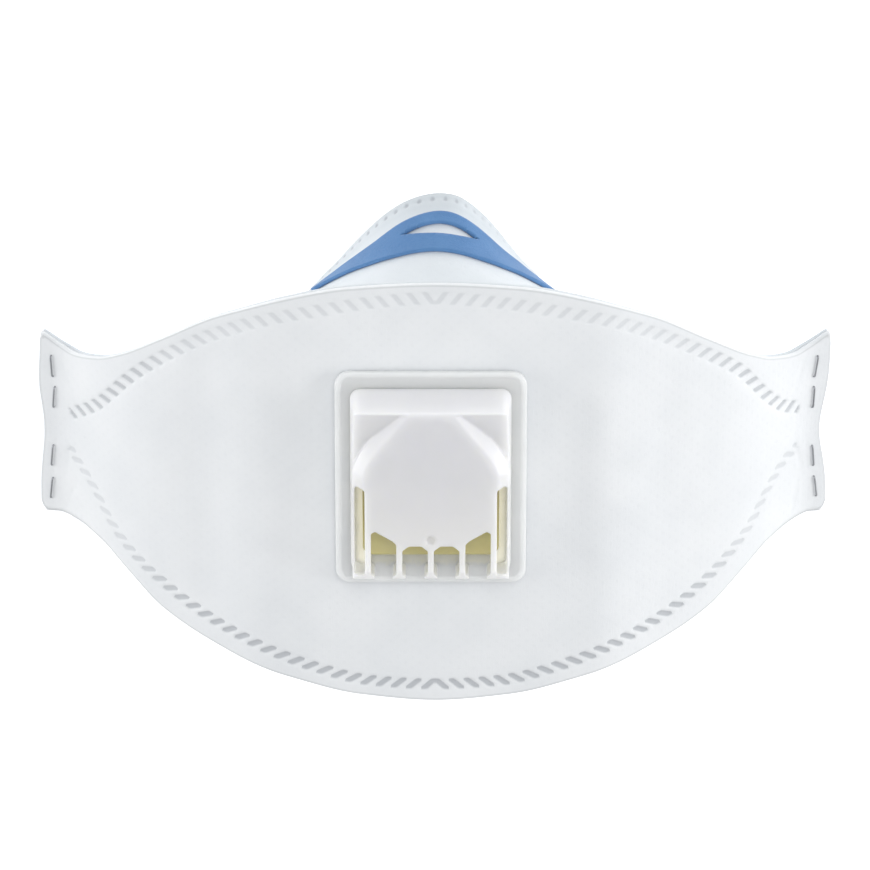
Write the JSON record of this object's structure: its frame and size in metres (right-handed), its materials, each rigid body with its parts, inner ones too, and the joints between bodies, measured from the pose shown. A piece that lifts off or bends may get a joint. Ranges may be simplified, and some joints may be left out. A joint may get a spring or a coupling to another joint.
{
  "type": "valved respirator mask",
  "caption": "Fold-flat white respirator mask, opened and resting on its rim, with a moulded exhale valve, a blue nose clip and stapled headbands.",
  "frame": {"origin": "middle of the footprint, on the surface that the rim rests on", "axes": "+X from ear to ear, towards the right of the picture; +Y towards the nose; +Z out through the valve"},
  "size_m": [0.176, 0.1088, 0.0541],
  "materials": {
    "nonwoven": "matt white point-bonded nonwoven with pressed weld marks",
    "clip_foam": "satin blue with a fine grain",
    "flange_plastic": "satin translucent white",
    "cover_plastic": "satin gloss warm white",
    "flap_rubber": "smooth amber",
    "elastic": "flat knitted elastic",
    "staple_wire": "drawn wire"
  },
  "bodies": {
    "root": {"center_panel": "nonwoven", "nose_panel": "nonwoven", "chin_panel": "nonwoven", "nose_clip": "clip_foam", "valve_base": "flange_plastic", "valve_flap": "flap_rubber", "valve_cover": "cover_plastic", "headband_upper": "elastic", "headband_lower": "elastic", "staple_left_upper_1": "staple_wire", "staple_left_upper_2": "staple_wire", "staple_left_lower_1": "staple_wire", "staple_left_lower_2": "staple_wire", "staple_right_upper_1": "staple_wire", "staple_right_upper_2": "staple_wire", "staple_right_lower_1": "staple_wire", "staple_right_lower_2": "staple_wire"}
  },
  "joints": []
}
